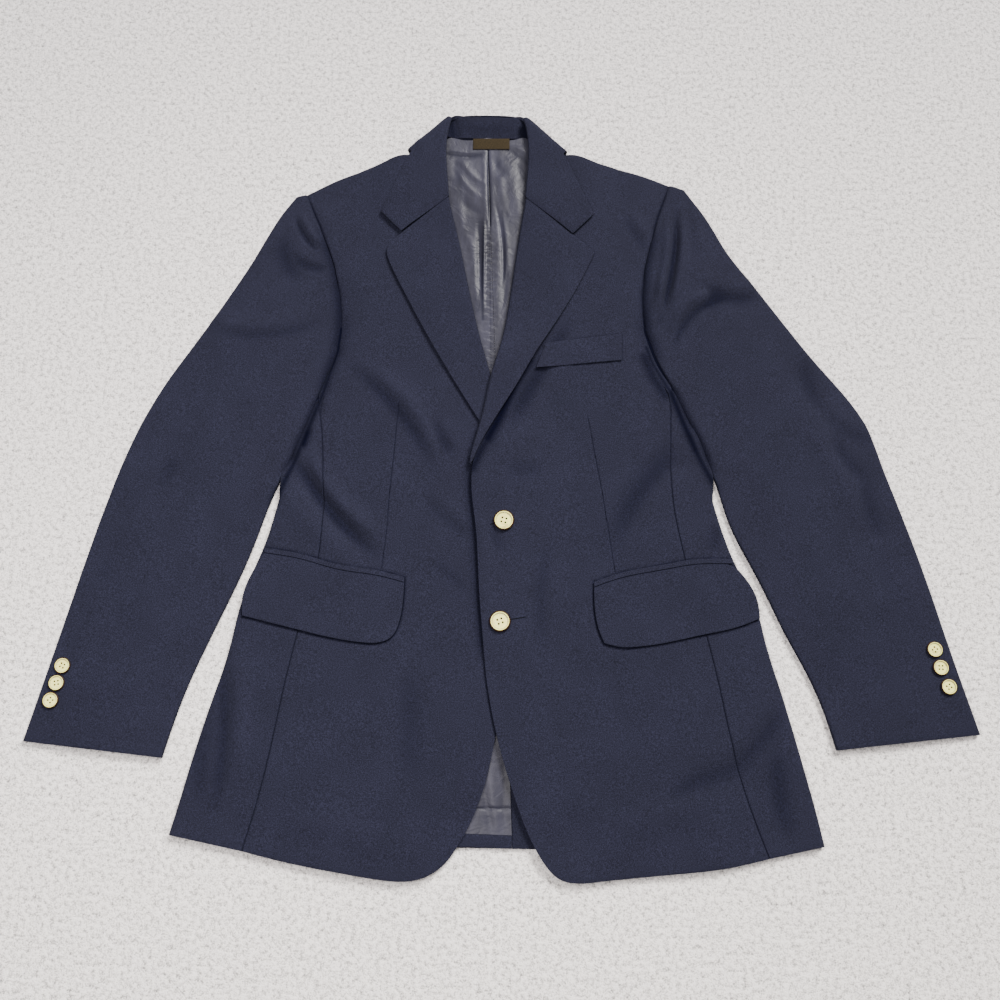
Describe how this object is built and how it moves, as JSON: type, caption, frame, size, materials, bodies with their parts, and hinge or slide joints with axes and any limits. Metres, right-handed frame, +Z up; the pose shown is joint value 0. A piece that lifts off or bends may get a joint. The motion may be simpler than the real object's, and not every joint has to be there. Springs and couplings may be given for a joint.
{
  "type": "single breasted blazer",
  "caption": "Navy wool blazer with notch lapels, flap pockets, a breast welt and pale buttons, laid out flat and face up.",
  "frame": {"origin": "middle of the laid-out garment's footprint, on the surface it lies on", "axes": "+X towards the wearer's left sleeve, +Y towards the collar, +Z up, out of the garment's face"},
  "size_m": [0.9452, 0.844, 0.0198],
  "materials": {
    "navy_wool": "matt worsted wool",
    "grey_satin": "satin lining",
    "olive_label": "woven, blank",
    "pale_horn": "mottled and polished"
  },
  "bodies": {
    "root": {"back_vent": "navy_wool", "breast_welt": "navy_wool", "collar_fall": "navy_wool", "collar_stand": "navy_wool", "front_button_lower": "pale_horn", "front_button_upper": "pale_horn", "left_back": "navy_wool", "left_back_hem": "navy_wool", "left_back_lining": "grey_satin", "left_cuff_button_1": "pale_horn", "left_cuff_button_2": "pale_horn", "left_cuff_button_3": "pale_horn", "left_front": "navy_wool", "left_lapel": "navy_wool", "left_pocket_flap": "navy_wool", "left_pocket_jet": "navy_wool", "left_side_panel": "navy_wool", "left_topsleeve": "navy_wool", "left_undersleeve": "navy_wool", "neck_label": "olive_label", "right_back": "navy_wool", "right_back_hem": "navy_wool", "right_back_lining": "grey_satin", "right_cuff_button_1": "pale_horn", "right_cuff_button_2": "pale_horn", "right_cuff_button_3": "pale_horn", "right_front": "navy_wool", "right_lapel": "navy_wool", "right_pocket_flap": "navy_wool", "right_pocket_jet": "navy_wool", "right_side_panel": "navy_wool", "right_topsleeve": "navy_wool", "right_undersleeve": "navy_wool"}
  },
  "joints": []
}
